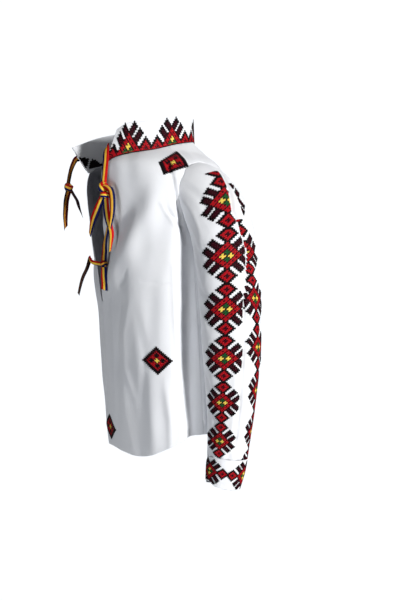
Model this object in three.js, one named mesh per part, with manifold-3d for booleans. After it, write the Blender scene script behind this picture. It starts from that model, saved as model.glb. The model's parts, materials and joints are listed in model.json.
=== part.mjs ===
// A folk shirt, filled out as it is worn and open at the neck, hem and cuffs.
// Millimetres, +Z up. The wearer faces -Y and has the left arm at +X.
// The origin is inside the neck opening, level with the shoulders that hold it up.
// Every piece of cloth is a thin wall: an outer surface worked out from a table of
// sizes, and the same surface moved inwards.

import * as THREE from 'three';
import { mergeVertices } from 'three/addons/utils/BufferGeometryUtils.js';
import Module from 'manifold-3d';

const wasm = await Module();
wasm.setup();

// ---- driving dimensions ------------------------------------------------------------

const wall = 1.8;                 // thickness of the cloth
const seamGap = 0.35;             // clearance between two pieces at a seam
const roundSteps = 40;            // facets round the body
const sleeveSteps = 20;           // facets round a sleeve
const bodyRowStep = 47;           // height of a facet row below the chest

// The body in level sections: half its width, how far it reaches to the front and to
// the back, and where it is widest.
const bodySections = [
  { level: 24, halfWidth: 40, front: 62, wide: 84, back: 111 },
  { level: 6, halfWidth: 64, front: 14, wide: 62, back: 127 },
  { level: -12, halfWidth: 88, front: -34, wide: 54, back: 145 },
  { level: -24, halfWidth: 114, front: -67, wide: 52, back: 156 },
  { level: -37, halfWidth: 136, front: -80, wide: 52, back: 162 },
  { level: -51, halfWidth: 149, front: -81, wide: 52, back: 165 },
  { level: -68, halfWidth: 157, front: -79, wide: 52, back: 167 },
  { level: -95, halfWidth: 161, front: -75, wide: 52, back: 168 },
  { level: -130, halfWidth: 165, front: -71, wide: 52, back: 167 },
  { level: -190, halfWidth: 170, front: -66, wide: 52, back: 163 },
  { level: -290, halfWidth: 174, front: -61, wide: 54, back: 160 },
  { level: -440, halfWidth: 178, front: -48, wide: 60, back: 163 },
  { level: -560, halfWidth: 181, front: -37, wide: 68, back: 169 },
  { level: -640, halfWidth: 183, front: -30, wide: 72, back: 173 },
];
const sectionPower = 2.12;        // 2 is an ellipse, more is squarer

// Folds that stand out from the body or sink into it: the angle round from the centre
// front towards the left arm, the level, their half sizes, their lean and their depth.
const bodyFolds = [
  { angle: 16, level: -470, spread: 7, height: 120, lean: -0.05, depth: 5 },
  { angle: 44, level: -500, spread: 8, height: 110, lean: 0.03, depth: 4 },
  { angle: 82, level: -390, spread: 7.5, height: 230, lean: 0.016, depth: -24 },
  { angle: -26, level: -480, spread: 8, height: 120, lean: 0.04, depth: 5 },
  { angle: -62, level: -440, spread: 9, height: 150, lean: -0.03, depth: -5 },
  { angle: -82, level: -390, spread: 7.5, height: 230, lean: -0.016, depth: -22 },
  { angle: 140, level: -400, spread: 9, height: 190, lean: 0.02, depth: -6 },
  { angle: 178, level: -430, spread: 9, height: 180, lean: 0, depth: 5 },
  { angle: -146, level: -410, spread: 9, height: 180, lean: -0.02, depth: -6 },
];

// The neck slit: half its width at each level.
const slitRows = [
  { level: 90, half: 50 },
  { level: -34, half: 50 },
  { level: -60, half: 40 },
  { level: -100, half: 29 },
  { level: -150, half: 21 },
  { level: -212, half: 18 },
  { level: -255, half: 9 },
  { level: -296, half: 1 },
];
// The slit's right edge gapes forwards.
const gape = { depth: 13, spread: 30, level: -150, height: 105 };

// The collar, from the right front end round the back to the left front end.
const collarRows = [
  { base: [-51, -84, -33], top: [-52, -110, 6] },
  { base: [-69, -38, -19], top: [-69, -50, 33] },
  { base: [-76, 20, -12], top: [-77, 15, 50] },
  { base: [-50, 92, 3], top: [-50, 90, 57] },
  { base: [0, 118, 13], top: [0, 116, 59] },
  { base: [50, 92, 2], top: [50, 90, 53] },
  { base: [76, 20, -14], top: [80, 18, 41] },
  { base: [69, -36, -25], top: [75, -34, 35] },
  { base: [52, -74, -38], top: [60, -54, 24] },
];
const collarSteps = 32;
const collarThickness = 2.4;

// The hem: its level over the front, how far it rises at each side and at the back, how
// much higher the left side hangs than the right, and a slow wave.
const hem = { level: -571, riseAtSide: 46, riseAtBack: 26, tilt: 4, wave: 1.5 };

// The left sleeve along the arm: the middle of each ring and its half sizes, outwards
// from the body and front to back. The right sleeve is its mirror image.
const sleeveRings = [
  { at: [92, 52, -60], out: 30, fore: 38 },
  { at: [130, 77, -85], out: 45, fore: 54 },
  { at: [164, 91, -122], out: 50, fore: 57.5 },
  { at: [187, 98, -166], out: 50, fore: 57 },
  { at: [200, 101, -212], out: 47, fore: 57 },
  { at: [207, 104, -270], out: 48, fore: 55 },
  { at: [210, 105, -330], out: 48, fore: 53 },
  { at: [212, 105, -385], out: 46, fore: 50.5 },
  { at: [213, 104, -435], out: 43, fore: 45.5 },
  { at: [213, 103, -480], out: 40, fore: 41 },
  { at: [213, 100, -522], out: 36, fore: 37.5 },
  { at: [212, 97, -557], out: 33, fore: 34.5 },
];
const cuffRings = [
  { at: [212, 96.9, -558.25], out: 33.2, fore: 34.7 },
  { at: [211.5, 95, -575], out: 33, fore: 34 },
  { at: [211, 92, -592], out: 31, fore: 32 },
  { at: [210.5, 88, -612], out: 27, fore: 29 },
];

// The cuff's lower edge, as depth and level: it rises towards the front.
const cuffEdge = [[40, -585], [57, -592], [66, -603], [84, -608.5], [110, -612.5], [140, -615]];

const seamProfile = [             // where front and back meet, as depth at each level
  { level: 120, depth: 34 },
  { level: 0, depth: 38 },
  { level: -48, depth: 52 },
  { level: -200, depth: 54 },
  { level: -700, depth: 74 },
];

const ribbonWidth = 13.5;
const ribbonThickness = 1.1;

// Each stretch of ribbon: its middle line, and the way its width lies at both ends.
const ribbons = {
  right_ribbon_strap: {
    line: [[-51, -98.3, -14], [-51.3, -104.8, -19], [-52, -113, -40], [-52, -117.3, -62.1]],
    across: [[0, -0.55, 0.83], [0.65, -0.76, 0.05]],
  },
  right_ribbon_tail_a: {
    line: [[-52, -117.8, -79.9], [-52.5, -121.5, -100], [-52, -123, -122], [-52, -122, -150]],
    across: [[0.35, -0.93, 0], [0.35, -0.93, 0.02]],
  },
  right_ribbon_tail_b: {
    line: [[-48, -110, -77], [-48, -104, -89], [-49, -97.5, -103], [-49, -90, -126]],
    across: [[0.9, 0.25, -0.35], [0.9, 0.25, -0.35]],
  },
  left_ribbon_strap: {
    line: [[55, -66.9, -8.1], [57, -72, -12], [62, -76.5, -38], [63.5, -79.7, -74.6]],
    across: [[0.12, 0.3, 0.945], [0.72, 0.69, 0.05]],
  },
  left_ribbon_tail_a: {
    line: [[61.3, -81.3, -103.4], [48, -86.5, -120], [31, -90, -138], [14, -92.5, -166]],
    across: [[0.5, 0.7, -0.48], [0.5, 0.7, -0.48]],
  },
  left_ribbon_tail_b: {
    line: [[68, -78.5, -105.7], [67, -74.5, -136], [70, -68.5, -163], [70, -67.5, -181], [68, -69, -201]],
    across: [[0.72, 0.69, 0.1], [0.72, 0.69, 0.1]],
  },
  left_ribbon_loop: {
    line: [[72.8, -80, -84], [82, -73.4, -90], [85, -70, -106], [84, -70, -132], [77, -72, -158]],
    across: [[0.6, 0.8, 0.1], [0.6, 0.8, 0.1]],
  },
  slit_ribbon_strap: {
    line: [[33, -68.6, -172], [34.5, -70, -186], [34, -70.5, -200], [33.8, -71, -213.5]],
    across: [[1, 0.08, 0], [0.72, 0.69, 0.1]],
  },
  slit_ribbon_band: {
    line: [[-15.4, -83.2, -207], [-3, -84, -213.5], [12, -81, -219], [27.6, -72.9, -221.3]],
    across: [[0.02, -0.25, 0.97], [0.02, -0.25, 0.97]],
  },
  slit_ribbon_tail_a: {
    line: [[33.6, -71, -229.4], [33.4, -70.6, -246], [32.5, -70, -258], [32, -69.5, -269.5]],
    across: [[0.72, 0.69, 0.08], [0.72, 0.69, 0.08]],
  },
  slit_ribbon_tail_b: {
    line: [[-15.9, -84.4, -215.7], [-17, -88.5, -227], [-19, -97, -246], [-20, -104.8, -276.5]],
    across: [[0.6, 0.78, 0.2], [0.6, 0.72, 0.3]],
  },
};
// The knots: middle and half sizes.
const knots = {
  right_ribbon_knot: { at: [-52, -117, -71], half: [7, 8, 8.5] },
  left_ribbon_knot_upper: { at: [63.3, -80.4, -84], half: [8.6, 9.4, 9] },
  left_ribbon_knot_lower: { at: [67.3, -78.6, -99], half: [8.1, 8.6, 6.5] },
  slit_ribbon_knot: { at: [33.8, -70.7, -221.5], half: [6, 6.2, 7.4] },
};

const cottonWhite = new THREE.MeshStandardMaterial({ color: 0xeef0f3, roughness: 0.92, side: THREE.DoubleSide });
const collarWhite = new THREE.MeshStandardMaterial({ color: 0xe9ebef, roughness: 0.9 });
const ribbonSatin = new THREE.MeshStandardMaterial({ color: 0xe0b13a, roughness: 0.5 });

// ---- closed solids from grids of points --------------------------------------------

function solidFrom(points, triangles) {
  const mesh = new wasm.Mesh({
    numProp: 3,
    vertProperties: new Float32Array(points.flatMap((p) => [p.x, p.y, p.z])),
    triVerts: new Uint32Array(triangles.flat()),
  });
  mesh.merge();
  return new wasm.Manifold(mesh);
}

function geometryFrom(solid) {
  const mesh = solid.getMesh();
  const geometry = new THREE.BufferGeometry();
  geometry.setAttribute('position', new THREE.BufferAttribute(mesh.vertProperties, 3));
  geometry.setIndex(new THREE.BufferAttribute(mesh.triVerts, 1));
  return geometry;
}

function solidFromGeometry(source) {
  const bare = source.clone();
  bare.deleteAttribute('normal');
  bare.deleteAttribute('uv');
  const merged = mergeVertices(bare, 1e-4);
  return new wasm.Manifold(new wasm.Mesh({
    numProp: 3,
    vertProperties: merged.attributes.position.array,
    triVerts: new Uint32Array(merged.index.array),
  }));
}

// Two triangles for each cell between neighbouring rings of a loft.
function ringCells(rings, count, closed, start, flipped) {
  const cells = [];
  const steps = closed ? count : count - 1;
  for (let r = 0; r < rings - 1; r += 1) {
    for (let i = 0; i < steps; i += 1) {
      const a = start + r * count + i;
      const b = start + r * count + ((i + 1) % count);
      const quad = [[a, b, b + count], [a, b + count, a + count]];
      cells.push(...(flipped ? quad.map((t) => [t[0], t[2], t[1]]) : quad));
    }
  }
  return cells;
}

// A filled solid through closed rings that run anticlockwise seen from the last ring.
function filledLoft(rings) {
  const count = rings[0].length;
  const points = rings.flat();
  const triangles = ringCells(rings.length, count, true, 0, false);
  [0, rings.length - 1].forEach((r) => {
    const middle = new THREE.Vector3();
    rings[r].forEach((p) => middle.add(p));
    points.push(middle.divideScalar(count));
    const centre = points.length - 1;
    for (let i = 0; i < count; i += 1) {
      const a = r * count + i;
      const b = r * count + ((i + 1) % count);
      triangles.push(r === 0 ? [centre, b, a] : [centre, a, b]);
    }
  });
  return solidFrom(points, triangles);
}

// A wall between an outer and an inner set of rings; open rings are closed at their ends.
function wallLoft(outer, inner, closed) {
  const count = outer[0].length;
  const rings = outer.length;
  const start = rings * count;
  const points = [...outer.flat(), ...inner.flat()];
  const triangles = [
    ...ringCells(rings, count, closed, 0, false),
    ...ringCells(rings, count, closed, start, true),
  ];
  const steps = closed ? count : count - 1;
  for (let i = 0; i < steps; i += 1) {
    const j = (i + 1) % count;
    const last = (rings - 1) * count;
    triangles.push([i, start + i, start + j], [i, start + j, j]);
    triangles.push([last + i, last + j, start + last + j], [last + i, start + last + j, start + last + i]);
  }
  if (!closed) {
    for (let r = 0; r < rings - 1; r += 1) {
      const a = r * count;
      const b = a + count;
      const c = a + count - 1;
      const d = c + count;
      triangles.push([a, b, start + b], [a, start + b, start + a]);
      triangles.push([c, start + c, start + d], [c, start + d, d]);
    }
  }
  return solidFrom(points, triangles);
}

// ---- smooth tables -------------------------------------------------------------------

function smoothStep(low, high, value) {
  const t = Math.min(1, Math.max(0, (value - low) / (high - low)));
  return t * t * (3 - 2 * t);
}

// A Catmull-Rom curve through numbers, at a place counted in rows.
function through(values, place) {
  const last = values.length - 1;
  const i = Math.min(last - 1, Math.max(0, Math.floor(place)));
  const t = place - i;
  const b = values[i];
  const c = values[i + 1];
  const a = i > 0 ? values[i - 1] : 2 * b - c;
  const d = i + 2 <= last ? values[i + 2] : 2 * c - b;
  return 0.5 * (2 * b + (c - a) * t + (2 * a - 5 * b + 4 * c - d) * t * t + (3 * b - a - 3 * c + d) * t * t * t);
}

// The place in a table, sorted from its highest level down, of a given level.
function placeOfLevel(rows, level) {
  const last = rows.length - 1;
  let i = 0;
  while (i < last - 1 && rows[i + 1].level > level) i += 1;
  return i + (rows[i].level - level) / (rows[i].level - rows[i + 1].level);
}

function straight(rows, level, column) {
  const place = Math.min(rows.length - 1, Math.max(0, placeOfLevel(rows, level)));
  const i = Math.min(rows.length - 2, Math.floor(place));
  return rows[i][column] + (rows[i + 1][column] - rows[i][column]) * (place - i);
}

// ---- the body's surface ----------------------------------------------------------------

function bodySize(level) {
  const place = placeOfLevel(bodySections, level);
  const column = (name) => through(bodySections.map((row) => row[name]), place);
  return { half: column('halfWidth'), front: column('front'), wide: column('wide'), back: column('back') };
}

// How far the cloth stands out at an angle round the body, 0 at the centre front.
function foldHeight(angle, level) {
  let sum = 0;
  for (const fold of bodyFolds) {
    const middle = fold.angle + fold.lean * (level - fold.level);
    const turn = ((angle - middle + 540) % 360) - 180;
    const across = turn / fold.spread;
    const along = (level - fold.level) / fold.height;
    sum += fold.depth * Math.exp(-across * across - along * along);
  }
  return sum;
}

function bodyPoint(angle, level) {
  const size = bodySize(level);
  const turn = THREE.MathUtils.degToRad(angle);
  const s = Math.sin(turn);
  const c = Math.cos(turn);
  const power = 2 / sectionPower;
  const reach = (c > 0 ? size.wide - size.front : size.back - size.wide);
  const x = size.half * Math.sign(s) * Math.abs(s) ** power;
  let y = size.wide - reach * Math.sign(c) * Math.abs(c) ** power;
  const away = (x + straight(slitRows, level, 'half')) / gape.spread;
  const along = (level - gape.level) / gape.height;
  if (c > 0) y -= gape.depth * Math.exp(-away * away - along * along * along * along);
  const out = foldHeight(angle, level);
  return new THREE.Vector3(x + out * s, y - out * c, level);
}

function bodyNormal(angle, level) {
  const d = 0.5;
  const round = bodyPoint(angle + d, level).sub(bodyPoint(angle - d, level));
  const up = bodyPoint(angle, level + d).sub(bodyPoint(angle, level - d));
  return round.cross(up).normalize();
}

function bodyRing(level, outwards) {
  const ring = [];
  for (let i = 0; i < roundSteps; i += 1) {
    const angle = (i * 360) / roundSteps - 180;
    const point = bodyPoint(angle, level);
    ring.push(outwards === 0 ? point : point.addScaledVector(bodyNormal(angle, level), outwards));
  }
  return ring;
}

function bodyLevels() {
  const levels = [];
  const lowest = bodySections.at(-1).level;
  for (let level = lowest; level < -120; level += bodyRowStep) levels.push(level);
  levels.push(-104, -84, -66, -50, -36, -24, -12, 0, 10, 20);
  return levels;
}

function bodySolid(outwards) {
  return filledLoft(bodyLevels().map((level) => bodyRing(level, outwards)));
}

function insideBody(p) {
  const size = bodySize(p.z);
  const reach = p.y < size.wide ? size.wide - size.front : size.back - size.wide;
  const across = Math.abs(p.x / size.half) ** sectionPower;
  return across + Math.abs((p.y - size.wide) / reach) ** sectionPower < 1;
}

// ---- cutters -----------------------------------------------------------------------------

// A prism whose outline is given as [depth, level] pairs, lying along X.
function prismAcross(outline, reach) {
  const shape = new THREE.Shape(outline.map(([y, z]) => new THREE.Vector2(y, z)));
  const prism = new THREE.ExtrudeGeometry(shape, { depth: 2 * reach, bevelEnabled: false });
  const turn = new THREE.Matrix4().set(0, 0, 1, -reach, 1, 0, 0, 0, 0, 1, 0, 0, 0, 0, 0, 1);
  return solidFromGeometry(prism.applyMatrix4(turn));
}

// A prism whose outline is given as [x, level] pairs, lying along Y.
function prismAlong(outline, from, to) {
  const shape = new THREE.Shape(outline.map(([x, z]) => new THREE.Vector2(x, z)));
  const prism = new THREE.ExtrudeGeometry(shape, { depth: to - from, bevelEnabled: false });
  const turn = new THREE.Matrix4().set(1, 0, 0, 0, 0, 0, -1, to, 0, 1, 0, 0, 0, 0, 0, 1);
  return solidFromGeometry(prism.applyMatrix4(turn));
}

function hemLevel(x, y) {
  const round = Math.atan2(x / 180, -(y - 62) / 105);
  const side = smoothStep(0.5, 1.75, Math.abs(round)) * hem.riseAtSide;
  const back = smoothStep(1.75, Math.PI, Math.abs(round)) * (hem.riseAtBack - hem.riseAtSide);
  return hem.level + side + back + hem.tilt * Math.sin(round) + hem.wave * Math.cos(5 * round);
}

// Everything below the hem: a block whose upper face is the hem's own level.
function belowHem() {
  const across = 26;
  const reach = 240;
  const floor = -700;
  const outer = [];
  const inner = [];
  for (let j = 0; j <= across; j += 1) {
    const y = -170 + (j / across) * 430;
    const top = [];
    const bottom = [];
    for (let i = 0; i <= across; i += 1) {
      const x = -reach + (i / across) * 2 * reach;
      top.push(new THREE.Vector3(x, y, hemLevel(x, y)));
      bottom.push(new THREE.Vector3(x, y, floor));
    }
    outer.push(top);
    inner.push(bottom);
  }
  return wallLoft(outer, inner, false);
}

function slitOpening() {
  const right = slitRows.map((row) => [-row.half, row.level]);
  const left = slitRows.map((row) => [row.half, row.level]).reverse();
  return prismAlong([...right, ...left], -220, -10);
}

// ---- collar --------------------------------------------------------------------------------

function collarLine(part, place) {
  return new THREE.Vector3(
    through(collarRows.map((row) => row[part][0]), place),
    through(collarRows.map((row) => row[part][1]), place),
    through(collarRows.map((row) => row[part][2]), place),
  );
}

// A point of the collar: 0 at its base, 1 at its upper edge, and past both in line.
function collarPoint(place, height, outwards) {
  const base = collarLine('base', place);
  const point = base.clone().lerp(collarLine('top', place), height);
  const d = 0.05;
  const along = collarLine('base', place + d).sub(collarLine('base', place - d));
  const up = collarLine('top', place).sub(base);
  return point.addScaledVector(up.cross(along).normalize(), outwards);
}

// The height at which the collar leaves the body's surface, a little inside it.
function collarRoot(place) {
  let low = -0.3;
  let high = 0.9;
  for (let i = 0; i < 30; i += 1) {
    const middle = (low + high) / 2;
    if (insideBody(collarPoint(place, middle, 0))) low = middle;
    else high = middle;
  }
  return low - 0.03;
}

function collarPlace(i) {
  return (i / collarSteps) * (collarRows.length - 1);
}

function collarSolid() {
  const heights = [0, 0.5, 1];
  const rings = (outwards) => heights.map((height) => {
    const ring = [];
    for (let i = collarSteps; i >= 0; i -= 1) {
      const place = collarPlace(i);
      const root = collarRoot(place);
      ring.push(collarPoint(place, root + (1 - root) * height, outwards));
    }
    return ring;
  });
  return wallLoft(rings(collarThickness / 2), rings(-collarThickness / 2), false);
}

// The neck hole: what lies within the collar's outer face, with the seam's clearance.
function neckPlug() {
  const rings = [-0.12, 0.4, 1, 2].map((height) => {
    const ring = [];
    for (let i = collarSteps; i >= 0; i -= 1) {
      const place = collarPlace(i);
      ring.push(collarPoint(place, collarRoot(place) + height, collarThickness / 2 + seamGap));
    }
    return ring;
  });
  return filledLoft(rings);
}

// ---- sleeves ---------------------------------------------------------------------------------

function ringFrames(table) {
  return table.map((row, i) => {
    const before = new THREE.Vector3(...table[Math.max(0, i - 1)].at);
    const after = new THREE.Vector3(...table[Math.min(table.length - 1, i + 1)].at);
    const along = after.sub(before).normalize();
    const fore = new THREE.Vector3(0, -1, 0).addScaledVector(along, along.y).normalize();
    const out = new THREE.Vector3().crossVectors(fore, along).normalize();
    return { middle: new THREE.Vector3(...row.at), out, fore, row };
  });
}

function sleeveRingPoints(frames, outwards) {
  return frames.map(({ middle, out, fore, row }) => {
    const ring = [];
    for (let i = 0; i < sleeveSteps; i += 1) {
      const turn = (i * 2 * Math.PI) / sleeveSteps;
      ring.push(middle.clone()
        .addScaledVector(out, (row.out + outwards) * Math.cos(turn))
        .addScaledVector(fore, (row.fore + outwards) * Math.sin(turn)));
    }
    return ring;
  });
}

function sleeveWall(table) {
  const frames = ringFrames(table);
  return wallLoft(sleeveRingPoints(frames, 0), sleeveRingPoints(frames, -wall), true);
}

function sleeveFilled(outwards) {
  return filledLoft(sleeveRingPoints(ringFrames(sleeveRings), outwards));
}

// ---- ribbons ------------------------------------------------------------------------------------

function ribbonSolid({ line, across }) {
  const curve = new THREE.CatmullRomCurve3(line.map((p) => new THREE.Vector3(...p)));
  const steps = 2 * (line.length - 1);
  const [first, last] = across.map((way) => new THREE.Vector3(...way).normalize());
  const rings = [];
  for (let i = 0; i <= steps; i += 1) {
    const at = curve.getPoint(i / steps);
    const along = curve.getTangent(i / steps);
    const side = first.clone().lerp(last, i / steps);
    const wide = side.addScaledVector(along, -side.dot(along)).normalize();
    const thick = new THREE.Vector3().crossVectors(along, wide);
    rings.push([[-1, -1], [1, -1], [1, 1], [-1, 1]].map(([w, t]) => at.clone()
      .addScaledVector(wide, (w * ribbonWidth) / 2)
      .addScaledVector(thick, (t * ribbonThickness) / 2)));
  }
  return filledLoft(rings);
}

function knotSolid({ at, half }) {
  const ball = new THREE.SphereGeometry(1, 9, 6);
  ball.scale(...half);
  ball.translate(...at);
  return solidFromGeometry(ball);
}

// ---- assembly --------------------------------------------------------------------------------------

const shirt = new THREE.Group();

function addPiece(name, solid, material) {
  const mesh = new THREE.Mesh(geometryFrom(solid), material);
  mesh.name = name;
  shirt.add(mesh);
}

function mirrored(solid) {
  return solid.mirror([1, 0, 0]);
}

// The largest body of a cut solid, without the crumbs that a cut leaves at its corners.
function mainBody(solid) {
  return solid.decompose().reduce((best, body) => (body.volume() > best.volume() ? body : best));
}

const leftArm = sleeveFilled(seamGap);
const bodyShell = bodySolid(0)
  .subtract(bodySolid(-wall))
  .subtract(belowHem())
  .subtract(neckPlug())
  .subtract(slitOpening())
  .subtract(leftArm)
  .subtract(mirrored(leftArm));

const seamLine = seamProfile.map((row) => [row.depth, row.level]);
const frontHalf = prismAcross([
  ...seamLine.map(([y, z]) => [y - seamGap / 2, z]), [-300, -700], [-300, 120],
], 300);
const backHalf = prismAcross([
  ...seamLine.map(([y, z]) => [y + seamGap / 2, z]), [400, -700], [400, 120],
], 300);
addPiece('front', mainBody(bodyShell.intersect(frontHalf)), cottonWhite);
addPiece('back', mainBody(bodyShell.intersect(backHalf)), cottonWhite);
addPiece('collar', collarSolid(), collarWhite);

const leftSleeve = sleeveWall(sleeveRings).subtract(bodySolid(seamGap));
addPiece('left_sleeve', leftSleeve, cottonWhite);
addPiece('right_sleeve', mirrored(leftSleeve), cottonWhite);
const belowCuff = prismAcross([...cuffEdge, [140, -700], [40, -700]], 300);
const leftCuff = sleeveWall(cuffRings).subtract(belowCuff);
addPiece('left_cuff', leftCuff, cottonWhite);
addPiece('right_cuff', mirrored(leftCuff), cottonWhite);

Object.entries(ribbons).forEach(([name, ribbon]) => addPiece(name, ribbonSolid(ribbon), ribbonSatin));
Object.entries(knots).forEach(([name, knot]) => addPiece(name, knotSolid(knot), ribbonSatin));

export default shirt;
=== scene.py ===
# Folk shirt, filled out as it is worn, with cross-stitch bands and ribbon ties.
# Tables are in millimetres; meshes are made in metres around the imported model.
import json
import math

import bpy
import numpy as np
from mathutils import Vector
from mathutils.bvhtree import BVHTree
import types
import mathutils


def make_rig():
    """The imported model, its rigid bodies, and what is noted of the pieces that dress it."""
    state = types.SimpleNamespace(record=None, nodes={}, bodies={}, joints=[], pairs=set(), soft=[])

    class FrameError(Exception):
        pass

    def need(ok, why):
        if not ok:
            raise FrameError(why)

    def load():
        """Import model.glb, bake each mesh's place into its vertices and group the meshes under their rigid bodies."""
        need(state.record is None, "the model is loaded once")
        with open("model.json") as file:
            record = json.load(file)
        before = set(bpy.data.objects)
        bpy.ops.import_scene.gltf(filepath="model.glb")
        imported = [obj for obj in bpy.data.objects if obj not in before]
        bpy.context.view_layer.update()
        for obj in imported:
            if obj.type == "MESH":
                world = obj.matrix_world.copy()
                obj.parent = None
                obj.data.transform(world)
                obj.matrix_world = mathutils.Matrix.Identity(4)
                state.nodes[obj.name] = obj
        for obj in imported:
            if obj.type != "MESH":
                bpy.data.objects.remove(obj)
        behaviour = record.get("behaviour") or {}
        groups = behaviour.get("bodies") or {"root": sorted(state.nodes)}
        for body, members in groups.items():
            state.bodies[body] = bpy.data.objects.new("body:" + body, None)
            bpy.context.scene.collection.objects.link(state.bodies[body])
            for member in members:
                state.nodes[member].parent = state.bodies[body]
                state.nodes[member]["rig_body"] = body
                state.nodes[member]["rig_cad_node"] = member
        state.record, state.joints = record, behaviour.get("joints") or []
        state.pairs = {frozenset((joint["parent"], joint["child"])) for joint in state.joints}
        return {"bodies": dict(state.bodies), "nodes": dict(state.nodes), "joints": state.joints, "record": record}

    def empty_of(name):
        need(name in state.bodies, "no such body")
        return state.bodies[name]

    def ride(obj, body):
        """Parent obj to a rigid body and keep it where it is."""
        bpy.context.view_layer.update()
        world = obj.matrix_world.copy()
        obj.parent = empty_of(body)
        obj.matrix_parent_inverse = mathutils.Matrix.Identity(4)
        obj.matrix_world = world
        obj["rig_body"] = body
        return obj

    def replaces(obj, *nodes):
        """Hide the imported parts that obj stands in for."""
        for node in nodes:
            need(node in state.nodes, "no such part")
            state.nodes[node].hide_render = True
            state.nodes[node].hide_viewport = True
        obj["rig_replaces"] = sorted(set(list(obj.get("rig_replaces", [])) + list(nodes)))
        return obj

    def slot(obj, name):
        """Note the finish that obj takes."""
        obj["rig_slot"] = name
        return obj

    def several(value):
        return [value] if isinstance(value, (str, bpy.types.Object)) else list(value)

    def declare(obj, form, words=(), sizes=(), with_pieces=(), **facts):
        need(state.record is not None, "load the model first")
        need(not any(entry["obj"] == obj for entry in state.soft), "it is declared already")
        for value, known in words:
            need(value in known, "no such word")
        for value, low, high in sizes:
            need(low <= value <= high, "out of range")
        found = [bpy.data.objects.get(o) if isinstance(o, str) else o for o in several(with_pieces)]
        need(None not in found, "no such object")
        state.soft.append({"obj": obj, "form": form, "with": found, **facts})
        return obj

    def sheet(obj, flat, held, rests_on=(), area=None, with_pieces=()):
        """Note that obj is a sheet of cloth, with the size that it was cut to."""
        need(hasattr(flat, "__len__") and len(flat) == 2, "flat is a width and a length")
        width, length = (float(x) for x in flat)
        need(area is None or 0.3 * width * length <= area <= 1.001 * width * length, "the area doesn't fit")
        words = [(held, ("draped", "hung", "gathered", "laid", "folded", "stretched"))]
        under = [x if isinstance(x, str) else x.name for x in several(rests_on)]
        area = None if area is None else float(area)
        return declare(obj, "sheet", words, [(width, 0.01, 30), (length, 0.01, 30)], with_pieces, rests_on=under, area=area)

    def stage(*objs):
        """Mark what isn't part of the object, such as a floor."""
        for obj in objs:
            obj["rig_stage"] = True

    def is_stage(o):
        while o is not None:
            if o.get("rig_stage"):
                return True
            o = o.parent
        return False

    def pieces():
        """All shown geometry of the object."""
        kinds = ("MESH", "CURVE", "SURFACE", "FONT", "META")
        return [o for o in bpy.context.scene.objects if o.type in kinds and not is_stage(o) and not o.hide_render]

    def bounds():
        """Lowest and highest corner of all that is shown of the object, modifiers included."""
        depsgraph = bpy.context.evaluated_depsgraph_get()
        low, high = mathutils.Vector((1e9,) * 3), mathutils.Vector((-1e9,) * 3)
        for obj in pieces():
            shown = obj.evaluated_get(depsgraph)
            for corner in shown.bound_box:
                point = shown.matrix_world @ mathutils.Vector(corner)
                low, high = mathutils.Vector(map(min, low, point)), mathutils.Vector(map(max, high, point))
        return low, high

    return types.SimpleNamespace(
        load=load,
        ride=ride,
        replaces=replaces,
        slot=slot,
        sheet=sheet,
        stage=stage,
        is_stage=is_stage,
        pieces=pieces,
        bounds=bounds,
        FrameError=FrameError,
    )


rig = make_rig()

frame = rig.load()
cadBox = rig.bounds()
millimetre = 0.001
scene = bpy.context.scene

studio = {
    "cameraAt": (1.430, -0.470, -0.289),
    "cameraAzimuth": 67.0,
    "lens": 46.72,
    "floorLevel": -1.42,
    "floorSize": 2.1,
    "surround": 0.075,
    "backdrop": 1.08,       # brightness behind the shirt
    "backdropTowards": (-0.9205, 0.3907, 0.0),
    "backdropEdge": (0.82, 0.9),     # cosines between which it fades in
}


def newObject(name, data):
    made = bpy.data.objects.new(name, data)
    scene.collection.objects.link(made)
    return made


def makeCamera():
    data = bpy.data.cameras.new("camera")
    data.lens = studio["lens"]
    data.sensor_width = 36
    data.sensor_fit = 'AUTO'
    camera = newObject("camera", data)
    camera.location = studio["cameraAt"]
    camera.rotation_euler = (math.radians(90), 0, math.radians(studio["cameraAzimuth"]))
    scene.camera = camera


def makeLight(name, place, target, size, watts, colour=(1, 1, 1)):
    data = bpy.data.lights.new(name, 'AREA')
    data.shape = 'RECTANGLE'
    data.size, data.size_y = size
    data.energy = watts
    data.color = colour
    light = newObject(name, data)
    light.location = place
    light.rotation_euler = (Vector(target) - Vector(place)).to_track_quat('-Z', 'Y').to_euler()


lights = [
    ("light_key", (2.57, 0.76, 0.05), (0.1, 0.0, -0.3), (0.26, 0.5), 78, (1, 0.995, 0.985)),
    ("light_side", (0.95, 2.40, 0.30), (0.15, 0.1, -0.3), (0.8, 1.2), 8, (1, 1, 1)),
    ("light_front", (0.6, -1.75, -1.2), (0, 0, -0.45), (0.8, 1.0), 13, (0.93, 0.96, 1)),
    ("light_top", (0.4, 0.1, 2.2), (0, 0.05, -0.2), (1.6, 1.6), 9, (1, 1, 1)),
    ("light_back", (-2.2, 1.6, 0.8), (0, 0, -0.3), (1.4, 1.6), 7, (1, 1, 1)),
]


# A socket that can be written in sums and products.
class Wire:
    def __init__(self, tree, socket):
        self.tree, self.socket = tree, socket

    def maths(self, operation, first, second=0.0):
        return addNode(self.tree, 'ShaderNodeMath', {"operation": operation}, {0: first, 1: second})

    def __add__(self, other):
        return self.maths('ADD', self, other)

    __radd__ = __add__

    def __mul__(self, other):
        return self.maths('MULTIPLY', self, other)

    def __sub__(self, other):
        return self.maths('SUBTRACT', self, other)

    def __rsub__(self, other):
        return self.maths('SUBTRACT', other, self)

    def __pow__(self, other):
        return self.maths('POWER', self, other)

    def above(self, other):
        return self.maths('GREATER_THAN', self, other)

    def sine(self):
        return self.maths('SINE', self)

    def size(self):
        return self.maths('ABSOLUTE', self)


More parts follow.
